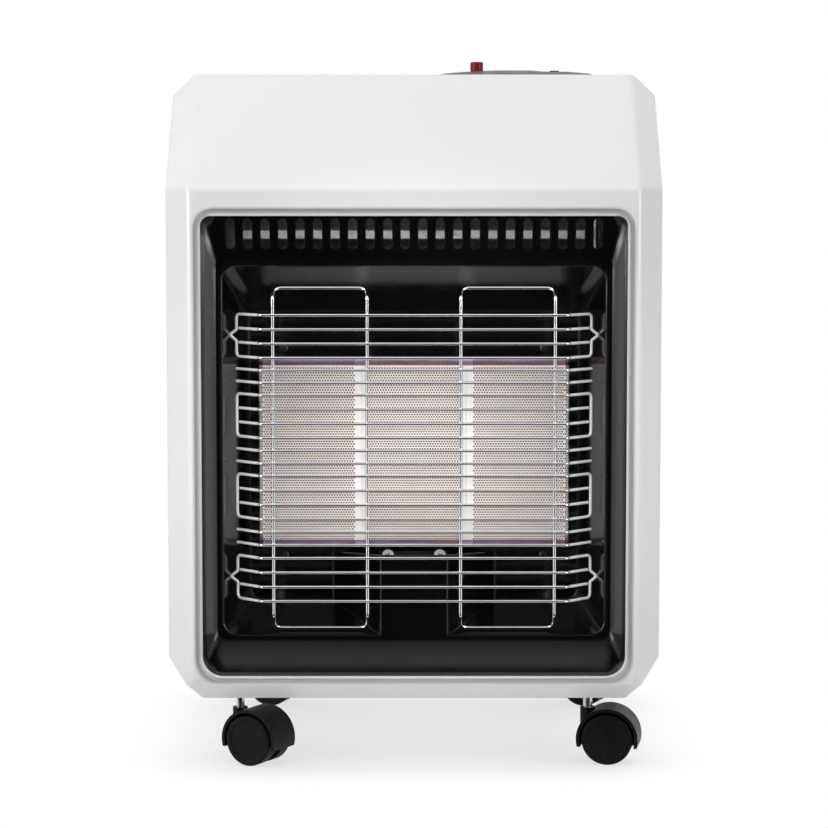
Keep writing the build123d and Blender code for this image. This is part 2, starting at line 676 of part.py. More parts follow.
def pilot_electrode():
    """Spark electrode with its ceramic sleeve resting on the arm."""
    arm_z = PILOT_BLOCK_Z - SHEET
    return probe(PROBE_X[0]) + rod_z(PROBE_X[0], at(PROBE_DEPTH), arm_z,
                                     arm_z + SLEEVE_H, SLEEVE_R)


def thermocouple():
    """Flame sensor with its collar resting on the arm."""
    arm_z = PILOT_BLOCK_Z - SHEET
    return probe(PROBE_X[1]) + rod_z(PROBE_X[1], at(PROBE_DEPTH), arm_z, arm_z + 2 * SLEEVE_R,
                                     SLEEVE_R - SEAT)


# ---- inner sheet work ----------------------------------------------------
def partition():
    """Wall between the burner and the cylinder bay, slotted near the top."""
    wall = octagon(SHEET + SEAT, PARTITION_DEPTH, SHEET)
    floor = BASE_Z + 3 * SHEET
    wall &= block((-WIDTH, WIDTH), (-WIDTH, WIDTH), (floor, PARTITION_TOP))
    long, tall = PARTITION_SLOT
    for row in range(PARTITION_SLOTS):
        z = PARTITION_SLOT_Z - row * PARTITION_SLOT_PITCH
        slot = block((long / 2, 3 * long / 2), (-WIDTH, WIDTH), (z, z + tall))
        for piece in both_sides(slot):
            wall -= piece
    return wall


def heat_shelf():
    """Bright shield above the firebox with a folded front lip."""
    low, high = SHELF_Z
    front, rear = at(SHELF_DEPTH), at(PARTITION_DEPTH)
    xs = (-SHELF_X, SHELF_X)
    lip = block(xs, (front, front + SHEET), (low, high))
    deck = block(xs, (front, rear), (high - SHEET, high))
    tail = block(xs, (rear - SHEET, rear), (high - SHEET, high + SHELF_TAIL))
    return lip + deck + tail


# ---- guard ---------------------------------------------------------------
def bar_heights():
    """Heights of all bars from the top down, their gaps spread over the guard."""
    top, bottom = GUARD_Z
    scale = (top - bottom) / (BARS_PER_GAP * sum(BAR_GAPS))
    heights = [top]
    for gap in BAR_GAPS:
        for _ in range(BARS_PER_GAP):
            heights.append(heights[-1] - gap * scale)
    return heights


def loop_heights():
    """Top and bottom of each closed loop; plain bars fill the spaces between."""
    heights = bar_heights()
    return [(heights[2 * BARS_PER_GAP * index], heights[2 * BARS_PER_GAP * index + BARS_PER_GAP])
            for index in range(LOOPS)]


def hooked_loops():
    """The top and bottom loops, which hang in the pocket."""
    loops = loop_heights()
    return [loops[0], loops[-1]]


def guard_plan(end_x):
    """Plan points of one bar from the middle to its bent-back end."""
    bend = end_x - GUARD_FLAT_X
    return [(0, at(GUARD_DEPTH)), (GUARD_FLAT_X, at(GUARD_DEPTH)),
            (end_x, at(GUARD_DEPTH + bend))]


def guard_loop(loop):
    """Closed wire loop, with hooks in its ends where it hangs in the pocket."""
    top, bottom = loop
    plan = guard_plan(GUARD_END_X)
    end_x, end_y = plan[-1]
    middle = (top + bottom) / 2
    upper = [(x, y, top) for x, y in plan]
    lower = [(x, y, bottom) for x, y in reversed(plan)]
    hook = []
    bends = [GUARD_BEND, LOOP_CORNER, LOOP_CORNER, GUARD_BEND]
    if loop in hooked_loops():
        hook = [(end_x, end_y, middle + HOOK_HALF), (end_x + HOOK_REACH, end_y, middle),
                (end_x, end_y, middle - HOOK_HALF)]
        bends[2:2] = [BAR_R] * 3
    half = bent_rod(upper + hook + lower, BAR_R, bends)
    return half + mirror(half, about=Plane.YZ)


def guard_loops():
    """The closed loops of the guard."""
    return group([guard_loop(loop) for loop in loop_heights()])


def guard_bar(z, end_x):
    """One open bar with both ends bent back."""
    plan = guard_plan(end_x)
    points = [(x, y, z) for x, y in plan]
    mirrored = [(-x, y, z) for x, y in reversed(plan[1:])]
    return bent_rod(mirrored + points[1:], BAR_R, GUARD_BEND)


def guard_bars():
    """Inner bars of each loop and the plain bars between the loops."""
    loops = loop_heights()
    bars = []
    for z in bar_heights():
        if any(z in loop for loop in loops):
            continue
        inside = any(bottom < z < top for top, bottom in loops)
        reach = GUARD_END_X - 2 * BAR_R - WELD if inside else GUARD_END_X
        bars.append(guard_bar(z, reach))
    return group(bars)


def guard_uprights():
    """Two tall closed loops behind the bars, with ends turned back."""
    y = at(GUARD_DEPTH + BAR_R + WELD + UPRIGHT_R)
    back = y + UPRIGHT_BACK
    inner, outer = UPRIGHT_X
    middle = (inner + outer) / 2
    (z0, z1), (end0, end1) = UPRIGHT_Z, UPRIGHT_END_Z
    points = [(middle, back, end1), (outer, back, end1), (outer, y, z1), (outer, y, z0),
              (outer, back, end0), (middle, back, end0)]
    side = bent_rod(points, UPRIGHT_R, [UPRIGHT_CORNER, GUARD_BEND, GUARD_BEND, UPRIGHT_CORNER])
    about = Plane(origin=(middle, 0, 0), z_dir=(1, 0, 0))
    loop = side + mirror(side, about=about)
    return group(both_sides(loop))


# ---- controls ------------------------------------------------------------
def control_plate():
    """Low domed plate with a cup for the knob and a collar for the button."""
    x0, x1 = PLATE_X
    y0, y1 = PLATE_Y
    middle_x, middle_y = (x0 + x1) / 2, (y0 + y1) / 2
    outline = RectangleRounded(x1 - x0, y1 - y0, PLATE_R)
    slab = extrude(Pos(middle_x, middle_y, TOP_Z) * outline, PLATE_CREST)
    sag = PLATE_CREST - PLATE_EDGE
    radius = (((x1 - x0) / 2) ** 2 + sag ** 2) / (2 * sag)
    dome = Pos(middle_x, middle_y, TOP_Z + PLATE_CREST - radius) * Rot(90, 0, 0) * Cylinder(
        radius, y1 - y0)
    cross = (((y1 - y0) / 2) ** 2 + sag ** 2) / (2 * sag)
    barrel = Pos(middle_x, middle_y, TOP_Z + PLATE_CREST - cross) * Rot(0, 90, 0) * Cylinder(
        cross, x1 - x0)
    plate = slab & dome & barrel
    top = TOP_Z + PLATE_CREST
    plate += rod_z(CUP_X, middle_y, CUP_FLOOR_Z - CUP_WALL, TOP_Z + PLATE_EDGE, CUP_R + CUP_WALL)
    plate -= rod_z(CUP_X, middle_y, CUP_FLOOR_Z, top, CUP_R)
    plate -= rod_z(CUP_X, middle_y, CUP_FLOOR_Z - 2 * CUP_WALL, top, SPINDLE_R + SEAT)
    bore = BUTTON_R + RUN
    plate += rod_z(COLLAR_X, middle_y, COLLAR_Z, TOP_Z + PLATE_EDGE, bore + COLLAR_WALL)
    plate -= rod_z(COLLAR_X, middle_y, COLLAR_Z - SHEET, top, bore)
    return plate


def igniter_button():
    """Round push button with a plunger below."""
    middle_y = sum(PLATE_Y) / 2
    cap = rod_z(COLLAR_X, middle_y, BUTTON_FOOT, BUTTON_TOP, BUTTON_R)
    cap = chamfer(cap.edges().filter_by(GeomType.CIRCLE).sort_by(Axis.Z)[-1:], BUTTON_EDGE)
    return cap + rod_z(COLLAR_X, middle_y, PLUNGER_Z, BUTTON_FOOT, PLUNGER_R)


def piezo_body():
    """Igniter body under the collar, bored for the plunger."""
    middle_y = sum(PLATE_Y) / 2
    low, step = PIEZO_Z
    outer = BUTTON_R + RUN + COLLAR_WALL
    body = rod_z(COLLAR_X, middle_y, low, COLLAR_Z - SEAT, outer)
    body -= rod_z(COLLAR_X, middle_y, step, COLLAR_Z, BUTTON_R + SEAT)
    return body - rod_z(COLLAR_X, middle_y, low + 2 * SHEET, step, PLUNGER_R + RUN)


def valve_body():
    """Gas valve with a round bonnet and a bore for its plug."""
    middle_y = sum(PLATE_Y) / 2
    width, thick = VALVE
    low, high = VALVE_Z
    body = block((CUP_X - width / 2, CUP_X + width / 2),
                 (middle_y - thick / 2, middle_y + thick / 2), (low, high))
    body += rod_z(CUP_X, middle_y, high, CUP_FLOOR_Z - CUP_WALL - SEAT, BONNET_R)
    body -= rod_z(CUP_X, middle_y, PLUG_Z[0] - SEAT, PLUG_Z[1] + SEAT, PLUG_R + RUN)
    return body - rod_z(CUP_X, middle_y, PLUG_Z[1], CUP_FLOOR_Z, SPINDLE_R + RUN)


def valve_plug():
    """Turning plug with a square hole for the spindle."""
    middle_y = sum(PLATE_Y) / 2
    plug = rod_z(CUP_X, middle_y, PLUG_Z[0], PLUG_Z[1], PLUG_R)
    half = SPINDLE_TIP / 2 + RUN
    low = PLUG_Z[0] + SHEET
    return plug - block((CUP_X - half, CUP_X + half), (middle_y - half, middle_y + half),
                        (low, PLUG_Z[1])) - rod_z(CUP_X, middle_y, SPINDLE_Z[1] - RAIL_SIZE / 2,
                                                  PLUG_Z[1], SPINDLE_R + SEAT)


def valve_spindle():
    """Spindle, square below and round where the knob sits."""
    middle_y = sum(PLATE_Y) / 2
    half = SPINDLE_TIP / 2
    low, high = SPINDLE_Z
    tip = block((CUP_X - half, CUP_X + half), (middle_y - half, middle_y + half), (low, high))
    return tip + rod_z(CUP_X, middle_y, high, KNOB_Z[1] + SHEET, SPINDLE_R)


def control_knob():
    """Round knob with a straight grip across it."""
    middle_y = sum(PLATE_Y) / 2
    low, high = KNOB_Z
    disc = rod_z(CUP_X, middle_y, low, high, KNOB_R)
    disc = chamfer(disc.edges().filter_by(GeomType.CIRCLE).sort_by(Axis.Z)[-1:], SHEET)
    reach = KNOB_R - SHEET
    grip = block((CUP_X - GRIP_W / 2, CUP_X + GRIP_W / 2), (middle_y - reach, middle_y + reach),
                 (high - SHEET, KNOB_TOP))
    grip = grip & rod_z(CUP_X, middle_y, low, KNOB_TOP, reach)
    knob = disc + grip
    return knob - rod_z(CUP_X, middle_y, low - SHEET, high + SHEET + SEAT, SPINDLE_R + RUN / 2)


def hose_tail():
    """Inlet nozzle for the gas hose, bored through."""
    start = (sum(PLATE_Y) + VALVE[1]) / 2
    tail = rod_y(CUP_X, start, start + TAIL_NUT, PORT_Z, TAIL_NUT_R)
    tail += rod_y(CUP_X, start + TAIL_NUT, start + TAIL_NUT + TAIL_LENGTH, PORT_Z, TAIL_R)
    return tail - rod_y(CUP_X, start + SHEET, start + TAIL_NUT + TAIL_LENGTH, PORT_Z, TAIL_BORE)


# ---- rear door -----------------------------------------------------------
def rear_door():
    """Louvred pan that closes the cylinder bay."""
    near = CAB_DEPTH + SEAT
    keep = block((DOOR_LEFT, WIDTH), (-WIDTH, WIDTH), (0, WIDTH * 2))
    door = octagon(DOOR_INSET, near, DOOR_DEPTH) & keep
    inner = block((DOOR_LEFT + SHEET, WIDTH), (-WIDTH, WIDTH), (0, WIDTH * 2))
    door -= octagon(DOOR_INSET + SHEET, near - SHEET, DOOR_DEPTH) & inner
    long, tall = LOUVRE
    for x in (-LOUVRE_X, LOUVRE_X):
        for first in LOUVRE_Z:
            for row in range(LOUVRES):
                z = first + row * LOUVRE_PITCH
                door -= block((x - long / 2, x + long / 2), (0, WIDTH), (z, z + tall))
    return door - rod_y(LATCH_X, 0, WIDTH, LATCH_Z, LATCH_SHAFT_R + RUN)


def hinge_y():
    """Y of the hinge axis."""
    return at(CAB_DEPTH + SEAT + KNUCKLE_R)


def hinge_knuckles():
    """Cabinet halves of both hinges, each with two knuckles on the flange."""
    y = hinge_y()
    bodies = []
    for z in HINGE_Z:
        for low in (z - SEAT - KNUCKLE_H, z + KNUCKLE_H + SEAT):
            high = low + KNUCKLE_H
            foot = block((HINGE_X - KNUCKLE_R, HINGE_X + KNUCKLE_R), (at(CAB_DEPTH), y), (low, high))
            knuckle = foot + rod_z(HINGE_X, y, low, high, KNUCKLE_R)
            bodies.append(knuckle - rod_z(HINGE_X, y, low, high, PIN_R + RUN / 2))
    return group(bodies)


def door_knuckles():
    """Door halves of both hinges, with a leaf along the door's edge."""
    y = hinge_y()
    wall, half = LEAF
    leaf_x = DOOR_LEFT - SEAT
    bodies = []
    for z in HINGE_Z:
        zs = (z, z + KNUCKLE_H)
        leaf = block((leaf_x - wall, leaf_x), (y - half / 2, y + half), zs)
        arm = block((HINGE_X, leaf_x), (y - wall / 2, y + wall / 2), zs)
        knuckle = rod_z(HINGE_X, y, zs[0], zs[1], KNUCKLE_R) + arm + leaf
        bodies.append(knuckle - rod_z(HINGE_X, y, zs[0], zs[1], PIN_R + RUN))
    return group(bodies)


def hinge_pins():
    """Pins through the knuckles."""
    reach = KNUCKLE_H + SEAT
    return group([rod_z(HINGE_X, hinge_y(), z - reach, z + KNUCKLE_H + reach, PIN_R)
                  for z in HINGE_Z])


def latch_handle():
    """Round turn handle with a cross bar, and its shaft through the door."""
    face = at(CAB_DEPTH + SEAT + DOOR_DEPTH)
    rose = rod_y(LATCH_X, face + SEAT, face + SEAT + LATCH_PLATE, LATCH_Z, LATCH_R)
    grip = block((LATCH_X - LATCH_BAR / 2, LATCH_X + LATCH_BAR / 2),
                 (face + SEAT, -FRONT), (LATCH_Z - LATCH_R + SHEET, LATCH_Z + LATCH_R - SHEET))
    inside = at(CAB_DEPTH) - SHEET - SEAT
    shaft = rod_y(LATCH_X, inside - CAM[2], face + SEAT, LATCH_Z, LATCH_SHAFT_R)
    return rose + grip + shaft


def latch_cam():
    """Tongue on the shaft's end, upright when the door is free."""
    long, wide, thick = CAM
    rear = at(CAB_DEPTH) - SHEET - SEAT
    tongue = block((LATCH_X - wide / 2, LATCH_X + wide / 2), (rear - thick, rear),
                   (LATCH_Z - wide / 2, LATCH_Z + long))
    return tongue - rod_y(LATCH_X, rear - 2 * thick, rear + thick, LATCH_Z,
                          LATCH_SHAFT_R + RUN / 2)


# ---- casters -------------------------------------------------------------
def swivel(name):
    """Placement of a caster about its stem, wheels trailing to one side."""
    x, y, angle = CASTERS[name]
    return Pos(x, y, 0) * Rot(0, 0, -angle)


def caster_hood():
    """Fender over both wheels with its web and stem boss, drawn at the stem."""
    middle = WHEEL_R
    fender = rod_y(TRAIL, -FENDER_V, FENDER_V, middle, FENDER_R[1])
    fender &= block((-WIDTH, WIDTH), (-WIDTH, WIDTH), (FENDER_TIP_Z, WIDTH))
    hood = fender + rod_z(0, 0, middle, BOSS_Z, BOSS_R)
    for side in (-1, 1):
        ends = sorted((side * WEB_V, side * 2 * FENDER_V))
        hood -= rod_y(TRAIL, ends[0], ends[1], middle, FENDER_R[0])
    web = rod_y(TRAIL, -WEB_V, WEB_V, middle, FENDER_R[0])
    web &= block((-WIDTH, WIDTH), (-WIDTH, WIDTH), (FENDER_TIP_Z, WIDTH))
    hood += web
    hood -= rod_z(0, 0, STEM_SHOULDER_Z - SEAT, BOSS_Z + SHEET, STEM_R + RUN)
    hood -= rod_z(0, 0, STEM_Z[0] - SEAT, STEM_SHOULDER_Z, STEM_PIN_R + RUN)
    return hood - rod_y(TRAIL, -WIDTH, WIDTH, middle, AXLE_R + RUN / 2)


def caster_axle():
    """Steel axle through the web."""
    return rod_y(TRAIL, -AXLE_V, AXLE_V, WHEEL_R, AXLE_R)


def caster_wheel(side):
    """Wheel with a softened tread edge and a shallow dished cap."""
    inner, outer = WHEEL_V
    dish_r, dish = WHEEL_DISH
    bore = AXLE_R + RUN
    bore_end = AXLE_V + SEAT
    outline = [(0, bore_end), (bore, bore_end), (bore, inner), (WHEEL_R - WHEEL_EDGE / 2, inner),
               (WHEEL_R, inner + WHEEL_EDGE / 2), (WHEEL_R, outer - WHEEL_EDGE),
               (WHEEL_R - WHEEL_EDGE / 2, outer - WHEEL_EDGE / 4), (WHEEL_R - WHEEL_EDGE, outer),
               (dish_r + dish, outer), (dish_r, outer - dish), (0, outer - dish)]
    profile = Plane.XY * make_face(Polyline(*outline, close=True))
    wheel = revolve(profile, Axis.Y)
    if side < 0:
        wheel = mirror(wheel, about=Plane.XZ)
    return Pos(TRAIL, 0, WHEEL_R) * wheel


def caster_stems():
    """Stepped stems fixed in the base."""
    low, high = STEM_Z
    stem = rod_z(0, 0, low, STEM_SHOULDER_Z, STEM_PIN_R) + rod_z(0, 0, STEM_SHOULDER_Z, high, STEM_R)
    return group([swivel(name) * stem for name in CASTERS])


def caster_sockets():
    """Sockets that grip the stems above the base."""
    floor = BASE_Z + 3 * SHEET
    flange_r, flange_t = SOCKET_FLANGE
    body = rod_z(0, 0, BASE_Z + SHEET, STEM_Z[1] + SHEET, SOCKET_R)
    body += rod_z(0, 0, floor, floor + flange_t, flange_r)
    body -= rod_z(0, 0, BASE_Z, STEM_Z[1], STEM_R + RUN / 2)
    return group([swivel(name) * body for name in CASTERS])


# ---- build ---------------------------------------------------------------
def cabinet_parts():
    """Sheet parts cut from one folded shell."""
    shell = envelope(0) - envelope(SHEET)
    parts = {"front_panel": front_panel(shell), "side_panel_left": side_panel(shell, -1),
             "side_panel_right": side_panel(shell, 1), "top_panel": top_panel(shell)}
    return parts


def caster_parts():
    """Swivelling and rolling parts of every caster."""
    parts = {}
    for name in CASTERS:
        place = swivel(name)
        parts["caster_hood_" + name] = place * caster_hood()
        parts["caster_axle_" + name] = place * caster_axle()
        parts["wheel_near_" + name] = place * caster_wheel(-1)
        parts["wheel_far_" + name] = place * caster_wheel(1)
    return parts


def all_parts():
    """Every node of the heater by name."""
    parts = cabinet_parts()
    makers = [base_plate, firebox_surround, burner_trim, burner_box, venturi_tubes,
              injector_rail, rail_feet, gas_pipe, pilot_pipe, burner_screws, pilot_screws,
              pilot_bracket, pilot_burner, pilot_electrode, thermocouple, partition, heat_shelf,
              guard_loops, guard_bars, guard_uprights, control_plate, igniter_button, piezo_body,
              valve_body, valve_plug, valve_spindle, control_knob, hose_tail, rear_door,
              hinge_knuckles, door_knuckles, hinge_pins, latch_handle, latch_cam, caster_stems,
              caster_sockets]
    for maker in makers:
        parts[maker.__name__] = maker()
    for index, place in enumerate(("left", "centre", "right")):
        parts["plaque_" + place] = plaque(index)
    parts.update(caster_parts())
    return parts


for node, shape in all_parts().items():
    export_step(shape, f"parts/{node}.step")
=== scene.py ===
import json
import math

import bpy
import numpy as np
from mathutils import Matrix, Vector


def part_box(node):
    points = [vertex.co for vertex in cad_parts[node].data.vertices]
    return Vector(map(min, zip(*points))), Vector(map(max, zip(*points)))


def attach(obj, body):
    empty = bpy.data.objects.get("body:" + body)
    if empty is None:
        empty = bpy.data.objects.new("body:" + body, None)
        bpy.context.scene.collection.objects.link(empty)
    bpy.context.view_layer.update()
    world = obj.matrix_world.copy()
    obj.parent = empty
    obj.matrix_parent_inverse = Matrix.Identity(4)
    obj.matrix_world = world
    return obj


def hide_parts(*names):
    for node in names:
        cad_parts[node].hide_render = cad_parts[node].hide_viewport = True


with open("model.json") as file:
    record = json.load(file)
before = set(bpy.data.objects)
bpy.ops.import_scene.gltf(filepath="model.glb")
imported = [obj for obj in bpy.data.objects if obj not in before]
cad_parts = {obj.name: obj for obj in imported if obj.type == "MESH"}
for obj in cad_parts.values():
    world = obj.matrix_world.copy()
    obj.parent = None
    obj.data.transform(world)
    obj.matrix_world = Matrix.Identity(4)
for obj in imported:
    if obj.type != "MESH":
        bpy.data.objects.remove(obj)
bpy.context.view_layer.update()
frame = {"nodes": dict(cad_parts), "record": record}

nodes = frame["nodes"]

# ---- places on the heater, in metres ---------------------------------------------
FRONT_Y = -0.190
FACE_BACK_Y = FRONT_Y + 0.012                   # the front moulding's flat face ends before this
MOUTH_X, MOUTH_Z, MOUTH_R = 0.179, (0.0844, 0.4738), 0.013      # half width, heights, corner
GROOVE_OFF, GROOVE_HALF = 0.0044, 0.0042        # middle of the groove outside the mouth, half width, for the painted groove shade
ROLLED_X = (0.1655, 0.1700)                     # the surround's side walls roll over here
SHEEN_X = (0.1655, 0.1690)
VENT_FOLD_Z = (0.4405, 0.4440)                  # the crisp vent strip starts above this fold
SILL_Z = (0.0870, 0.1130)                       # sill, from its bright edge to its dull one
ABOVE_SILL_Z = (0.1170, 0.1210)
BENT_X = (0.1290, 0.1340)                       # the guard's ends are bent back from here
TRIM_Z = (0.1850, 0.3495)                       # burner frame
TINT_BAND = (0.0715, 0.0825)                    # heat tint, as distances from its middle height
KNOB_X, KNOB_Y = 0.1245, -0.020
PILOT_SCREWS = [(-0.0226, 0.1770), (0.0226, 0.1770)]
BURNER_SCREWS = [(x, z) for x in (-0.1130, 0.1130) for z in (0.1765, 0.3580)]
HINGE_Z = (0.150, 0.490)
RIVET_X, RIVET_OFF_Z = -0.190, 0.011


# ---- node material tools ---------------------------------------------------------
class Mat:
    """A procedural material on object coordinates, with short calls for the usual nodes."""

    def __init__(self, name):
        self.mat = bpy.data.materials.new(name)
        self.mat.use_nodes = True
        self.tree = self.mat.node_tree
        self.tree.nodes.clear()
        self.out = self.tree.nodes.new("ShaderNodeOutputMaterial")
        self.bsdf = self.tree.nodes.new("ShaderNodeBsdfPrincipled")
        self.link(self.bsdf.outputs[0], self.out.inputs[0])
        self.coord = self.tree.nodes.new("ShaderNodeTexCoord")
        self.last_normal = None

    def set(self, **values):
        for key, value in values.items():
            self.bsdf.inputs[key.replace("_", " ")].default_value = value
        return self

    def link(self, a, b):
        self.tree.links.new(a, b)

    def drive(self, **sources):
        """Link sources to inputs of the shader."""
        for key, source in sources.items():
            self.link(source, self.bsdf.inputs[key.replace("_", " ")])
        return self

    def stretched(self, scale):
        node = self.tree.nodes.new("ShaderNodeMapping")
        node.inputs["Scale"].default_value = scale
        self.link(self.coord.outputs["Object"], node.inputs["Vector"])
        return node.outputs[0]

    def noise(self, scale, detail=3.0, vector=None):
        node = self.tree.nodes.new("ShaderNodeTexNoise")
        node.inputs["Scale"].default_value = scale
        node.inputs["Detail"].default_value = detail
        self.link(vector or self.coord.outputs["Object"], node.inputs["Vector"])
        return node.outputs["Fac"]

    def cells(self, scale):
        node = self.tree.nodes.new("ShaderNodeTexVoronoi")
        node.inputs["Scale"].default_value = scale
        self.link(self.coord.outputs["Object"], node.inputs["Vector"])
        return node.outputs["Distance"]

    def ramp(self, fac, *stops):
        """Colour ramp through stops of a place and a colour."""
        node = self.tree.nodes.new("ShaderNodeValToRGB")
        ramp = node.color_ramp
        while len(ramp.elements) < len(stops):
            ramp.elements.new(0.5)
        for element, (place, colour) in zip(ramp.elements, stops):
            element.position = place
            element.color = (*colour, 1.0)
        self.link(fac, node.inputs[0])
        return node.outputs[0]

    def spread(self, fac, low, high, low_in=0.3, high_in=0.7, kind="LINEAR"):
        """Value that goes from low to high while fac goes from low_in to high_in."""
        node = self.tree.nodes.new("ShaderNodeMapRange")
        node.interpolation_type = kind
        for socket, value in zip(node.inputs[1:5], (low_in, high_in, low, high)):
            socket.default_value = value
        self.link(fac, node.inputs[0])
        return node.outputs[0]

    def maths(self, kind, a, b=0.0):
        node = self.tree.nodes.new("ShaderNodeMath")
        node.operation = kind
        for socket, value in zip(node.inputs, (a, b)):
            if isinstance(value, (int, float)):
                socket.default_value = value
            else:
                self.link(value, socket)
        return node.outputs[0]

    def axis(self, which):
        node = self.tree.nodes.new("ShaderNodeSeparateXYZ")
        self.link(self.coord.outputs["Object"], node.inputs[0])
        return node.outputs["XYZ".index(which)]

    def from_middle(self, which, middle=0.0):
        """Distance from a plane across an axis."""
        return self.maths("ABSOLUTE", self.maths("SUBTRACT", self.axis(which), middle))

    def wander(self, scale, detail, reach):
        """Slow noise about zero, in metres."""
        return self.maths("MULTIPLY", self.maths("SUBTRACT", self.noise(scale, detail), 0.5), reach)

    def frame_distance(self, middle_z, half_x, half_z, radius):
        """Distance outside an upright rounded rectangle in the X-Z plane."""
        x = self.maths("SUBTRACT", self.from_middle("X"), half_x - radius)
        z = self.maths("SUBTRACT", self.from_middle("Z", middle_z), half_z - radius)
        wide = self.maths("POWER", self.maths("MAXIMUM", x, 0.0), 2.0)
        tall = self.maths("POWER", self.maths("MAXIMUM", z, 0.0), 2.0)
        outside = self.maths("SQRT", self.maths("ADD", wide, tall))
        inside = self.maths("MINIMUM", self.maths("MAXIMUM", x, z), 0.0)
        return self.maths("SUBTRACT", self.maths("ADD", outside, inside), radius)

    def mix(self, fac, a, b):
        """Colour that goes from a to b with fac."""
        node = self.tree.nodes.new("ShaderNodeMix")
        node.data_type = "RGBA"
        for socket, value in ((node.inputs[0], fac), (node.inputs[6], a), (node.inputs[7], b)):
            if isinstance(value, tuple):
                socket.default_value = (*value, 1.0)
            else:
                self.link(value, socket)
        return node.outputs[2]

    def bump(self, height, strength, distance=0.0002):
        """Fine relief, on top of any soft edge."""
        node = self.tree.nodes.new("ShaderNodeBump")
        node.inputs["Strength"].default_value = strength
        node.inputs["Distance"].default_value = distance
        self.link(height, node.inputs["Height"])
        if self.last_normal is not None:
            self.link(self.last_normal, node.inputs["Normal"])
        self.last_normal = node.outputs[0]
        return self.drive(Normal=self.last_normal)

    def soft_edge(self, radius, samples=6):
        """Edges that catch the light as if rounded, by a radius or by a source of one."""
        node = self.tree.nodes.new("ShaderNodeBevel")
        node.samples = samples
        if isinstance(radius, float):
            node.inputs["Radius"].default_value = radius
        else:
            self.link(radius, node.inputs["Radius"])
        self.last_normal = node.outputs[0]
        return self.drive(Normal=self.last_normal)


# ---- materials -------------------------------------------------------------------
def white_enamel():
    """Powder coat, with painted shade along the pressed groove round the front opening."""
    m = Mat("white_enamel").set(Coat_Weight=0.25, Coat_Roughness=0.18)
    coat = m.ramp(m.noise(3.5, detail=2.0),
                  (0.30, (0.712, 0.715, 0.705)), (0.72, (0.738, 0.739, 0.731)))
    low, high = MOUTH_Z
    away = m.frame_distance((low + high) / 2, MOUTH_X, (high - low) / 2, MOUTH_R)
    away = m.maths("ADD", away, m.wander(30.0, detail=2.0, reach=0.0008))
    # painted shade: the colour darkens towards the groove's middle line, on the front face only
    off = m.maths("ABSOLUTE", m.maths("SUBTRACT", away, GROOVE_OFF))
    shade = m.spread(off, 1.0, 0.0, low_in=0.0002, high_in=GROOVE_HALF, kind="SMOOTHSTEP")
    on_face = m.maths("LESS_THAN", m.axis("Y"), FACE_BACK_Y)
    shade = m.maths("MULTIPLY", m.maths("MULTIPLY", shade, on_face), 0.62)
    # base colour mixed towards dark grey by the painted groove shade
    m.drive(Base_Color=m.mix(shade, coat, (0.20, 0.20, 0.175)),
            Roughness=m.spread(m.noise(26.0), 0.31, 0.42))
    m.soft_edge(0.0045, samples=8)
    return m.bump(m.noise(900.0, detail=2.0), strength=0.05).mat


def black_enamel():
    """Glossy enamel: crisp along the vents, round along the rolled walls, duller up the sill."""
    m = Mat("black_enamel").set(IOR=1.5)
    m.drive(Base_Color=m.ramp(m.noise(7.0), (0.3, (0.0018, 0.0018, 0.002)),
                              (0.75, (0.0035, 0.0035, 0.0037))),
            Roughness=m.spread(m.noise(45.0, detail=4.0), 0.11, 0.18))
    side, height = m.from_middle("X"), m.axis("Z")
    rolled = m.spread(side, 0.0007, 0.0075, *ROLLED_X)
    pressed = m.spread(height, 0.0030, 0.0007, *VENT_FOLD_Z)
    m.soft_edge(m.maths("MAXIMUM", rolled, pressed), samples=10)
    sheen = m.spread(side, 0.6, 0.85, *SHEEN_X)
    dull = m.maths("MAXIMUM", m.spread(height, 1.0, 0.25, *SILL_Z),
                   m.spread(height, 0.0, 1.0, *ABOVE_SILL_Z))
    m.drive(Specular_IOR_Level=m.maths("MULTIPLY", sheen, dull))
    return m.bump(m.noise(420.0, detail=2.0), strength=0.06).mat


def dark_steel():
    m = Mat("dark_steel").set(Metallic=0.4)
    m.drive(Base_Color=m.ramp(m.noise(60.0, detail=4.0), (0.3, (0.012, 0.012, 0.012)),
                              (0.7, (0.03, 0.029, 0.028))),
            Roughness=m.spread(m.noise(90.0), 0.3, 0.5))
    return m.bump(m.noise(700.0, detail=2.0), strength=0.2).mat


def zinc_sheet():
    """Galvanised sheet with its crystals."""
    m = Mat("zinc_sheet").set(Metallic=0.15)
    crystals = m.cells(95.0)
    tone = m.mix(m.noise(30.0), crystals, m.noise(180.0, detail=2.0))
    m.drive(Base_Color=m.ramp(tone, (0.15, (0.78, 0.79, 0.80)), (0.55, (0.88, 0.885, 0.89)),
                              (0.85, (0.93, 0.93, 0.93))),
            Roughness=m.spread(crystals, 0.24, 0.42, low_in=0.1, high_in=0.8))
    return m.bump(m.noise(260.0), strength=0.12, distance=0.0003).mat


def aluminised():
    m = Mat("aluminised").set(Metallic=1.0)
    m.drive(Base_Color=m.ramp(m.noise(38.0, detail=5.0), (0.3, (0.42, 0.41, 0.40)),
                              (0.7, (0.60, 0.59, 0.58))),
            Roughness=m.spread(m.noise(22.0), 0.34, 0.52))
    return m.bump(m.noise(500.0), strength=0.15).mat


def guard_chrome():
    """Drawn bright wire, satin where its ends are bent back."""
    m = Mat("guard_chrome")
    drawn = m.noise(16.0, vector=m.stretched((1.0, 40.0, 40.0)))
    m.drive(Base_Color=m.ramp(drawn, (0.3, (0.92, 0.93, 0.96)), (0.7, (0.98, 0.98, 0.99))),
            Metallic=m.spread(m.from_middle("X"), 1.0, 0.35, *BENT_X),
            Roughness=m.spread(m.noise(120.0, detail=4.0), 0.05, 0.11))
    return m.bump(m.noise(900.0, detail=2.0), strength=0.05, distance=0.0001).mat


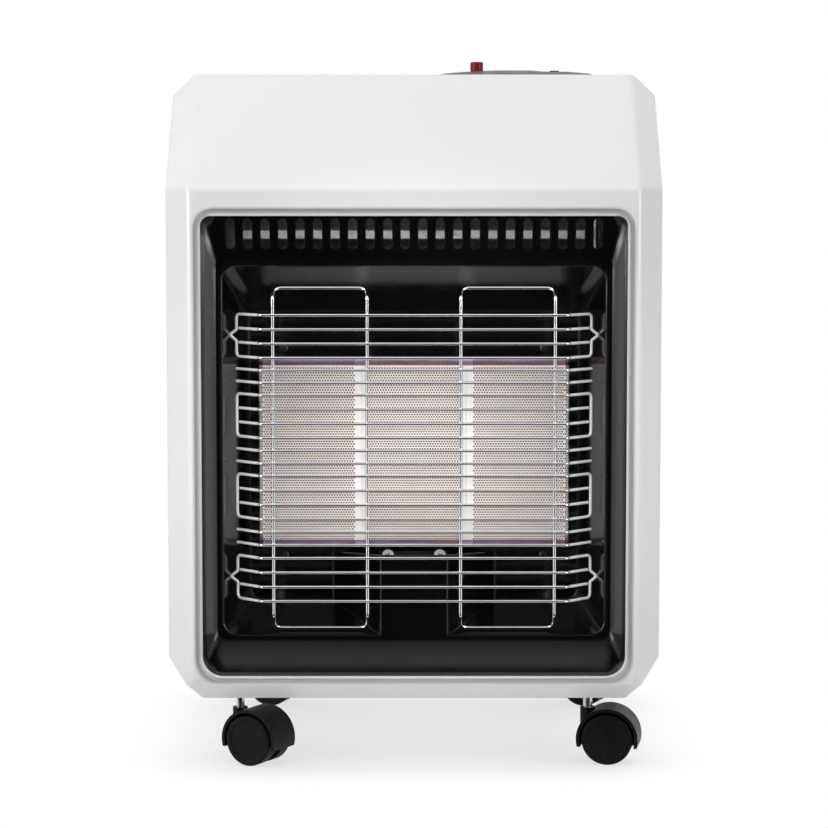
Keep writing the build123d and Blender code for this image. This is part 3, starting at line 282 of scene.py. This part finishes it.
def steel(name, low, high, rough, grain=300.0, metallic=1.0):
    """Plain metal between two tones and two roughnesses."""
    m = Mat(name).set(Metallic=metallic)
    m.drive(Base_Color=m.ramp(m.noise(grain / 4, detail=4.0), (0.3, low), (0.7, high)),
            Roughness=m.spread(m.noise(grain / 3), *rough))
    return m.bump(m.noise(grain, detail=2.0), strength=0.1, distance=0.0001).mat


def brass():
    m = Mat("brass").set(Metallic=1.0)
    m.drive(Base_Color=m.ramp(m.noise(70.0, detail=4.0), (0.3, (0.55, 0.37, 0.13)),
                              (0.7, (0.74, 0.54, 0.24))),
            Roughness=m.spread(m.noise(110.0), 0.22, 0.38))
    return m.bump(m.noise(400.0, detail=2.0), strength=0.08, distance=0.0001).mat


def plastic(name, low, high, rough, texture, strength, specular=0.5):
    """Moulded plastic between two tones, with a fine texture."""
    m = Mat(name).set(IOR=1.48, Specular_IOR_Level=specular)
    m.drive(Base_Color=m.ramp(m.noise(40.0), (0.3, low), (0.7, high)),
            Roughness=m.spread(m.noise(70.0), rough - 0.05, rough + 0.07))
    m.soft_edge(0.0006)
    return m.bump(m.noise(texture), strength).mat


def trim_steel():
    """Bright frame, heat tinted blue, purple and straw along its top and bottom lips."""
    m = Mat("trim_steel").set(Metallic=1.0)
    away = m.maths("ADD", m.from_middle("Z", sum(TRIM_Z) / 2),
                   m.wander(32.0, detail=4.0, reach=0.004))
    tint = m.ramp(m.spread(away, 0.0, 1.0, *TINT_BAND),
                  (0.00, (0.70, 0.69, 0.68)), (0.30, (0.30, 0.10, 0.07)),
                  (0.60, (0.26, 0.08, 0.09)), (0.72, (0.18, 0.16, 0.42)),
                  (0.84, (0.55, 0.48, 0.62)), (1.00, (0.80, 0.78, 0.85)))
    grain = m.noise(30.0, detail=4.0, vector=m.stretched((1.0, 30.0, 30.0)))
    m.drive(Base_Color=m.mix(m.spread(grain, 0.0, 0.35), tint, (0.66, 0.66, 0.67)),
            Roughness=m.spread(m.noise(60.0), 0.10, 0.22))
    return m.bump(m.noise(150.0), strength=0.06).mat


def ceramic_face():
    m = Mat("ceramic_face")
    m.drive(Base_Color=m.ramp(m.noise(16.0, detail=4.0), (0.25, (0.94, 0.89, 0.85)),
                              (0.55, (0.955, 0.93, 0.91)), (0.85, (0.965, 0.95, 0.94))),
            Roughness=m.spread(m.noise(200.0), 0.75, 0.95))
    return m.bump(m.noise(1400.0), strength=0.25).mat


def ceramic_hole_shade():
    """Painted shade of the deep burner holes, dark brown on their walls and floors."""
    m = Mat("ceramic_hole_shade").set(Roughness=0.95)
    # painted shade: a dark brown colour for the inside of the holes
    m.drive(Base_Color=m.ramp(m.noise(60.0), (0.3, (0.240, 0.066, 0.002)),
                              (0.7, (0.350, 0.110, 0.006))))
    return m.bump(m.noise(1400.0, detail=2.0), strength=0.2).mat


MATERIALS = {
    "white_enamel": white_enamel(),
    "black_enamel": black_enamel(),
    "dark_steel": dark_steel(),
    "zinc_sheet": zinc_sheet(),
    "aluminised": aluminised(),
    "guard_chrome": guard_chrome(),
    "trim_steel": trim_steel(),
    "ceramic": ceramic_face(),
    "probe_ceramic": plastic("probe_ceramic", (0.80, 0.79, 0.75), (0.88, 0.87, 0.84),
                             rough=0.3, texture=500.0, strength=0.05),
    "pipe_metal": steel("pipe_metal", (0.56, 0.56, 0.57), (0.72, 0.72, 0.73), rough=(0.25, 0.4)),
    "brass": brass(),
    "valve_alloy": steel("valve_alloy", (0.42, 0.42, 0.43), (0.58, 0.58, 0.58),
                         rough=(0.38, 0.55), grain=500.0),
    "black_plastic": plastic("black_plastic", (0.020, 0.020, 0.024), (0.032, 0.032, 0.037),
                             rough=0.34, texture=900.0, strength=0.08, specular=0.35),
    "caster_plastic": plastic("caster_plastic", (0.004, 0.004, 0.0037), (0.008, 0.008, 0.007),
                              rough=0.42, texture=1300.0, strength=0.25, specular=0.12),
    "wheel_plastic": plastic("wheel_plastic", (0.004, 0.0042, 0.0034), (0.009, 0.0092, 0.0075),
                             rough=0.5, texture=1500.0, strength=0.35, specular=0.09),
    "button_red": plastic("button_red", (0.20, 0.003, 0.012), (0.30, 0.006, 0.02),
                          rough=0.25, texture=700.0, strength=0.05, specular=0.15),
    "steel_pin": steel("steel_pin", (0.60, 0.61, 0.62), (0.80, 0.80, 0.81), rough=(0.14, 0.28)),
    "screw_bright": steel("screw_bright", (0.86, 0.87, 0.88), (0.95, 0.95, 0.96),
                          rough=(0.16, 0.26), metallic=0.5),
    "screw_dark": steel("screw_dark", (0.05, 0.05, 0.05), (0.12, 0.12, 0.12), rough=(0.25, 0.4)),
}
# painted shade of the burner holes
HOLE_SHADE = ceramic_hole_shade()
# painted shadow: near black colour for the screws' cross recesses
RECESS_SHADOW = plastic("recess_shadow", (0.004, 0.004, 0.004), (0.010, 0.010, 0.010),
                 rough=0.6, texture=900.0, strength=0.1)
PRINT = plastic("dial_print", (0.72, 0.72, 0.72), (0.80, 0.80, 0.80),
                rough=0.5, texture=900.0, strength=0.1)

for part in frame["record"]["subparts"]:
    mesh = nodes[part["node"]].data
    mesh.materials.clear()
    mesh.materials.append(MATERIALS[part["material_slot"]])


# ---- mesh tools ------------------------------------------------------------------
def new_object(name, verts, faces, *materials):
    mesh = bpy.data.meshes.new(name)
    mesh.from_pydata([tuple(v) for v in verts], [], faces)
    for material in materials:
        mesh.materials.append(material)
    obj = bpy.data.objects.new(name, mesh)
    bpy.context.scene.collection.objects.link(obj)
    return obj


def piece(name, verts, faces, materials, body="cabinet", marks=None, smooth=False):
    """New piece that rides on a body. Marks give each face one of its materials."""
    obj = new_object(name, verts, faces, *materials)
    mesh = obj.data
    if marks is not None:
        mesh.polygons.foreach_set("material_index", np.asarray(marks, np.int32))
    if smooth:
        mesh.polygons.foreach_set("use_smooth", np.ones(len(mesh.polygons), bool))
    mesh.validate()
    mesh.update()
    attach(obj, body)
    return obj


# ---- perforated ceramic plates ---------------------------------------------------
HOLE_PITCH, ROW_PITCH = 0.002264, 0.00214
HOLE_R, HOLE_DEEP = 0.00084, 0.0022
COLUMNS, ROWS = 35, 71
ZONE_MIDDLE_Z = 0.2655
FACE_MARK, HOLE_MARK = 0, 1


def hole_cell():
    """Flat cell round one hole: four corners, the hole's eight-sided rim, its wall and floor."""
    half_w, half_h = HOLE_PITCH / 2, ROW_PITCH / 2
    corners = [(-half_w, -half_h), (half_w, -half_h), (half_w, half_h), (-half_w, half_h)]
    angles = [math.radians(-112.5 + 45 * k) for k in range(8)]
    rim = [(HOLE_R * math.cos(a), HOLE_R * math.sin(a)) for a in angles]
    verts = [(x, 0.0, z) for x, z in corners + rim]
    verts += [(x, HOLE_DEEP, z) for x, z in rim]
    faces, marks = [], []
    for k in range(4):
        a, b = k, (k + 1) % 4
        near, far, last = (4 + (2 * k + step) % 8 for step in range(3))
        faces += [(a, b, far, near), (b, last, far)]
        marks += [FACE_MARK, FACE_MARK]
    for k in range(8):
        a, b = 4 + k, 4 + (k + 1) % 8
        faces.append((a, b, b + 8, a + 8))
        marks.append(HOLE_MARK)
    faces.append(tuple(range(12, 20)))
    marks.append(HOLE_MARK)
    return np.array(verts), faces, marks


def ceramic_plate(node):
    """Ceramic plate with its staggered burner holes as real recesses."""
    lo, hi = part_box(node)
    middle_x = (lo.x + hi.x) / 2
    half_w, half_h, stagger = COLUMNS * HOLE_PITCH / 2, ROWS * ROW_PITCH / 2, HOLE_PITCH / 4
    x0, x1 = middle_x - half_w - stagger, middle_x + half_w + stagger
    z0, z1 = ZONE_MIDDLE_Z - half_h, ZONE_MIDDLE_Z + half_h
    cell, cell_faces, cell_marks = hole_cell()
    verts, faces, marks = [], [], []

    def quad(*corners):
        base = len(verts)
        verts.extend(corners)
        faces.append(tuple(range(base, base + 4)))
        marks.append(FACE_MARK)

    def front(left, right, low, high):
        quad((left, lo.y, low), (right, lo.y, low), (right, lo.y, high), (left, lo.y, high))

    for row in range(ROWS):
        z = z0 + (row + 0.5) * ROW_PITCH
        shift = stagger if row % 2 else -stagger
        for column in range(COLUMNS):
            x = middle_x - half_w + (column + 0.5) * HOLE_PITCH + shift
            base = len(verts)
            verts.extend(map(tuple, cell + np.array((x, lo.y, z))))
            faces.extend(tuple(base + i for i in face) for face in cell_faces)
            marks.extend(cell_marks)
        left, right = (x1 - 2 * stagger, x1) if shift < 0 else (x0, x0 + 2 * stagger)
        front(left, right, z - ROW_PITCH / 2, z + ROW_PITCH / 2)
    front(lo.x, hi.x, lo.z, z0)
    front(lo.x, hi.x, z1, hi.z)
    front(lo.x, x0, z0, z1)
    front(x1, hi.x, z0, z1)
    for x, order in ((lo.x, 1), (hi.x, -1)):
        quad(*[(x, lo.y, lo.z), (x, lo.y, hi.z), (x, hi.y, hi.z), (x, hi.y, lo.z)][::order])
    for z, order in ((lo.z, 1), (hi.z, -1)):
        quad(*[(lo.x, lo.y, z), (lo.x, hi.y, z), (hi.x, hi.y, z), (hi.x, lo.y, z)][::order])
    quad((hi.x, hi.y, lo.z), (lo.x, hi.y, lo.z), (lo.x, hi.y, hi.z), (hi.x, hi.y, hi.z))
    # the hole walls and floors take the painted hole shade
    obj = piece(node + "_perforated", verts, faces, (MATERIALS["ceramic"], HOLE_SHADE),
                marks=marks)
    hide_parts(node)


for plate in ("plaque_left", "plaque_centre", "plaque_right"):
    ceramic_plate(plate)


# ---- small fittings --------------------------------------------------------------
BLADE_HALF_THICK, BLADE_HALF_WIDE, BLADE_PROUD = 0.0003, 0.00042, 0.0002
DIAL_TURN, DIAL_STEPS = math.radians(240.0), 6
DIAL_NEAR, DIAL_FAR, DIAL_GROWTH = 0.0262, 0.0286, 0.0004
MARK_HALF_WIDE, MARK_HALF_HIGH = 0.00045, 0.00015
POINTER_OFF, POINTER_HALF = 0.0125, (0.0006, 0.0055, 0.00012)
RIVET_R, RIVET_HEIGHT = 0.0030, 0.0012
DOME_RINGS, DOME_SIDES = 5, 20
BOX_FACES = ((0, 1, 3, 2), (4, 6, 7, 5), (0, 4, 5, 1), (2, 3, 7, 6), (0, 2, 6, 4), (1, 5, 7, 3))


def boxes(name, blocks, material, body="cabinet"):
    """One piece of turned boxes: centre, half sizes, turn about Y and turn about Z."""
    verts, faces = [], []
    for centre, half, turn_y, turn_z in blocks:
        turn = Matrix.Rotation(turn_z, 3, "Z") @ Matrix.Rotation(turn_y, 3, "Y")
        base = len(verts)
        for x in (-1, 1):
            for y in (-1, 1):
                for z in (-1, 1):
                    corner = Vector((x * half[0], y * half[1], z * half[2]))
                    verts.append(Vector(centre) + turn @ corner)
        faces += [tuple(base + i for i in face) for face in BOX_FACES]
    piece(name, verts, faces, (material,), body)


def crosses(name, node, places, arm, turns):
    """Cross recesses, as dark blades of painted shadow set into the screw heads of a node."""
    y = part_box(node)[0].y + BLADE_PROUD
    half = (arm, BLADE_HALF_THICK, BLADE_HALF_WIDE)
    # two crossed blades of painted shadow per screw
    boxes(name, [((x, y, z), half, turn + extra, 0.0) for (x, z), turn in zip(places, turns)
                 for extra in (0.0, math.pi / 2)], RECESS_SHADOW)


def height_of(node, x, y):
    """Height of a node's upper surface at a place seen from above."""
    hit, spot, _, _ = nodes[node].ray_cast(Vector((x, y, 1.0)), Vector((0, 0, -1)))
    return spot.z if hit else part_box(node)[1].z


def dial_marks():
    """Raised white bars of growing length round the knob, from low to full."""
    blocks = []
    for step in range(DIAL_STEPS + 1):
        angle = DIAL_TURN * step / DIAL_STEPS
        far = DIAL_FAR + DIAL_GROWTH * step
        middle, half = (DIAL_NEAR + far) / 2, (far - DIAL_NEAR) / 2
        x, y = KNOB_X + middle * math.sin(angle), KNOB_Y - middle * math.cos(angle)
        place = (x, y, height_of("control_plate", x, y))
        blocks.append((place, (half, MARK_HALF_WIDE, MARK_HALF_HIGH), 0.0, angle - math.pi / 2))
    boxes("dial_marks", blocks, PRINT)


def knob_pointer():
    """White line on the knob's grip."""
    place = (KNOB_X, KNOB_Y - POINTER_OFF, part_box("control_knob")[1].z)
    boxes("knob_pointer", [(place, POINTER_HALF, 0.0, 0.0)], PRINT, "knob")


def hinge_rivets():
    """Domed rivet heads on the door's outer face, two at each hinge."""
    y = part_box("rear_door")[1].y
    verts, faces = [], []
    for z in (hinge + off for hinge in HINGE_Z for off in (-RIVET_OFF_Z, RIVET_OFF_Z)):
        base = len(verts)
        for ring in range(DOME_RINGS):
            tilt = math.pi / 2 * ring / DOME_RINGS
            radius, lift = RIVET_R * math.cos(tilt), RIVET_HEIGHT * math.sin(tilt)
            for side in range(DOME_SIDES):
                angle = 2 * math.pi * side / DOME_SIDES
                verts.append((RIVET_X + radius * math.cos(angle), y + lift,
                              z + radius * math.sin(angle)))
        verts.append((RIVET_X, y + RIVET_HEIGHT, z))
        for ring in range(DOME_RINGS):
            start = base + ring * DOME_SIDES
            for side in range(DOME_SIDES):
                a, b = start + side, start + (side + 1) % DOME_SIDES
                if ring < DOME_RINGS - 1:
                    faces.append((a, a + DOME_SIDES, b + DOME_SIDES, b))
                else:
                    faces.append((a, base + DOME_RINGS * DOME_SIDES, b))
    piece("hinge_rivets", verts, faces, (MATERIALS["steel_pin"],), "rear_door",
          smooth=True)


crosses("pilot_screw_recess_shadow", "pilot_screws", PILOT_SCREWS, arm=0.0026, turns=(0.3, 1.0))
crosses("burner_screw_recess_shadow", "burner_screws", BURNER_SCREWS, arm=0.0021,
        turns=(0.2, 0.9, 0.5, 1.3))
dial_marks()
knob_pointer()
hinge_rivets()


# ---- stage -----------------------------------------------------------------------
FLOOR_HALF, FLOOR_Z = 6.0, -0.0003
SHADOW_REACH, SHADOW_LEVEL = 0.10, 0.72
FILL, FILL_COLOUR = 0.38, (0.97, 0.985, 1.0, 1.0)
CLOTH_X, CLOTH_TOP_Z, CLOTH_LOW_Z = 0.46, 0.62, 0.001
CLOTH_FAR_Y, CLOTH_NEAR_Y = -0.90, -0.26


def shows_white(tree):
    """1 for camera, glossy and transmission rays, which see plain white surroundings."""
    path = tree.nodes.new("ShaderNodeLightPath")
    seen = path.outputs["Is Camera Ray"]
    for kind in ("Is Glossy Ray", "Is Transmission Ray"):
        either = tree.nodes.new("ShaderNodeMath")
        either.operation = "MAXIMUM"
        tree.links.new(seen, either.inputs[0])
        tree.links.new(path.outputs[kind], either.inputs[1])
        seen = either.outputs[0]
    return seen


def mixed(tree, fac, first, second):
    """Shader that goes from the first to the second with fac."""
    node = tree.nodes.new("ShaderNodeMixShader")
    for source, socket in zip((fac, first, second), node.inputs):
        tree.links.new(source, socket)
    return node.outputs[0]


def stage_floor():
    """Pale floor that shows as white and keeps the object's shadow."""
    m = Mat("floor_white").set(Roughness=0.9)
    m.drive(Base_Color=m.ramp(m.noise(4.0, detail=2.0), (0.3, (0.90, 0.90, 0.90)),
                              (0.7, (0.92, 0.92, 0.92))))
    shade = m.tree.nodes.new("ShaderNodeAmbientOcclusion")
    shade.inputs["Distance"].default_value = SHADOW_REACH
    shade.samples = 8
    glow = m.tree.nodes.new("ShaderNodeEmission")
    m.link(m.spread(shade.outputs["AO"], SHADOW_LEVEL, 1.0, low_in=0.25, high_in=0.85),
           glow.inputs["Color"])
    m.link(mixed(m.tree, shows_white(m.tree), m.bsdf.outputs[0], glow.outputs[0]),
           m.out.inputs[0])
    x, z = FLOOR_HALF, FLOOR_Z
    obj = new_object("floor", [(-x, -x, z), (x, -x, z), (x, x, z), (-x, x, z)], [(0, 1, 2, 3)],
                     m.mat)


def studio_world():
    """White surroundings for what is seen or mirrored, a plain fill for the rest."""
    world = bpy.data.worlds.new("studio")
    bpy.context.scene.world = world
    world.use_nodes = True
    tree = world.node_tree
    tree.nodes.clear()
    out = tree.nodes.new("ShaderNodeOutputWorld")
    lights = []
    for colour, strength in ((FILL_COLOUR, FILL), ((1.0, 1.0, 1.0, 1.0), 1.0)):
        light = tree.nodes.new("ShaderNodeBackground")
        light.inputs["Color"].default_value = colour
        light.inputs["Strength"].default_value = strength
        lights.append(light.outputs[0])
    tree.links.new(mixed(tree, shows_white(tree), *lights), out.inputs[0])


def dark_cloth():
    """Black studio cloth hanging and lying in front, seen in reflections only."""
    m = Mat("flag_cloth").set(Roughness=1.0, Specular_IOR_Level=0.0)
    m.drive(Base_Color=m.ramp(m.noise(3.0, detail=2.0), (0.3, (0.004, 0.004, 0.004)),
                              (0.7, (0.008, 0.008, 0.008))))
    x, far, near, low, top = CLOTH_X, CLOTH_FAR_Y, CLOTH_NEAR_Y, CLOTH_LOW_Z, CLOTH_TOP_Z
    obj = new_object("flag", [(-x, far, low), (x, far, low), (x, far, top), (-x, far, top),
                              (-x, near, low), (x, near, low)], [(0, 1, 2, 3), (4, 5, 1, 0)],
                     m.mat)
    for ray in ("camera", "diffuse", "shadow", "transmission"):
        setattr(obj, "visible_" + ray, False)


stage_floor()
studio_world()
dark_cloth()

# ---- lamps and camera ------------------------------------------------------------
FRONT_AIM, REAR_AIM = (0.0, -0.1, 0.35), (0.0, 0.1, 0.35)
LAMPS = (
    # name, place, aim, size, watts, rays that don't see it
    ("left", (-2.0, -1.22, 1.15), FRONT_AIM, (1.0, 1.3), 19.0, ("camera",)),
    ("right", (2.0, -1.22, 1.10), FRONT_AIM, (0.6, 1.1), 6.3, ("camera",)),
    ("rear", (0.5, 2.3, 0.9), REAR_AIM, (1.6, 1.0), 26.0, ("camera", "glossy")),
    ("left_core", (-1.9, -1.25, 0.47), FRONT_AIM, (0.5, 0.3), 9.0, ("camera", "diffuse")),
    ("right_core", (1.9, -1.25, 0.47), FRONT_AIM, (0.5, 0.3), 9.0, ("camera", "diffuse")),
    ("top", (0.0, -1.2, 2.8), FRONT_AIM, (1.4, 0.8), 34.0, ("camera", "glossy")),
)
BURNER_PLACE, BURNER_AIM, BURNER_WATTS = (0.0, -2.30, 0.62), (0.0, -0.108, 0.267), 122.0
BURNER_CONE, BURNER_BLEND, BURNER_SOFT = math.radians(9.0), 0.35, 0.12
CAMERA_PLACE = (0.0, FRONT_Y - 2.300, 0.5176)
CAMERA_TILT, CAMERA_LENS, SENSOR_WIDTH = math.radians(5.214), 119.397, 36.0
CAMERA_CLIP = (0.05, 60.0)


def hang(light, place, aim, unseen_by):
    """Put a light at a place, aimed at a point, out of sight of some kinds of ray."""
    obj = bpy.data.objects.new(light.name, light)
    obj.location = place
    obj.rotation_euler = (Vector(aim) - Vector(place)).to_track_quat("-Z", "Y").to_euler()
    for ray in unseen_by:
        setattr(obj, "visible_" + ray, False)
    bpy.context.scene.collection.objects.link(obj)


def studio_lamps():
    """Soft rectangular lamps: two sides, rear and top, and two cores that only glint."""
    for name, place, aim, size, watts, unseen_by in LAMPS:
        light = bpy.data.lights.new(name, "AREA")
        light.shape = "RECTANGLE"
        light.size, light.size_y = size
        light.energy = watts
        hang(light, place, aim, unseen_by)


def burner_spot():
    """Narrow lamp on the burner, so that the deep pocket isn't left dim."""
    light = bpy.data.lights.new("burner", "SPOT")
    light.energy = BURNER_WATTS
    light.spot_size, light.spot_blend = BURNER_CONE, BURNER_BLEND
    light.shadow_soft_size = BURNER_SOFT
    hang(light, BURNER_PLACE, BURNER_AIM, ("camera", "glossy"))


def make_camera():
    """Long lens in front of the heater, a little below its top."""
    data = bpy.data.cameras.new("camera")
    data.sensor_width, data.lens = SENSOR_WIDTH, CAMERA_LENS
    data.clip_start, data.clip_end = CAMERA_CLIP
    obj = bpy.data.objects.new("camera", data)
    obj.location = CAMERA_PLACE
    obj.rotation_euler = (math.pi / 2 - CAMERA_TILT, 0.0, 0.0)
    bpy.context.scene.collection.objects.link(obj)
    bpy.context.scene.camera = obj


studio_lamps()
burner_spot()
make_camera()

bpy.context.scene.view_settings.view_transform = "Standard"
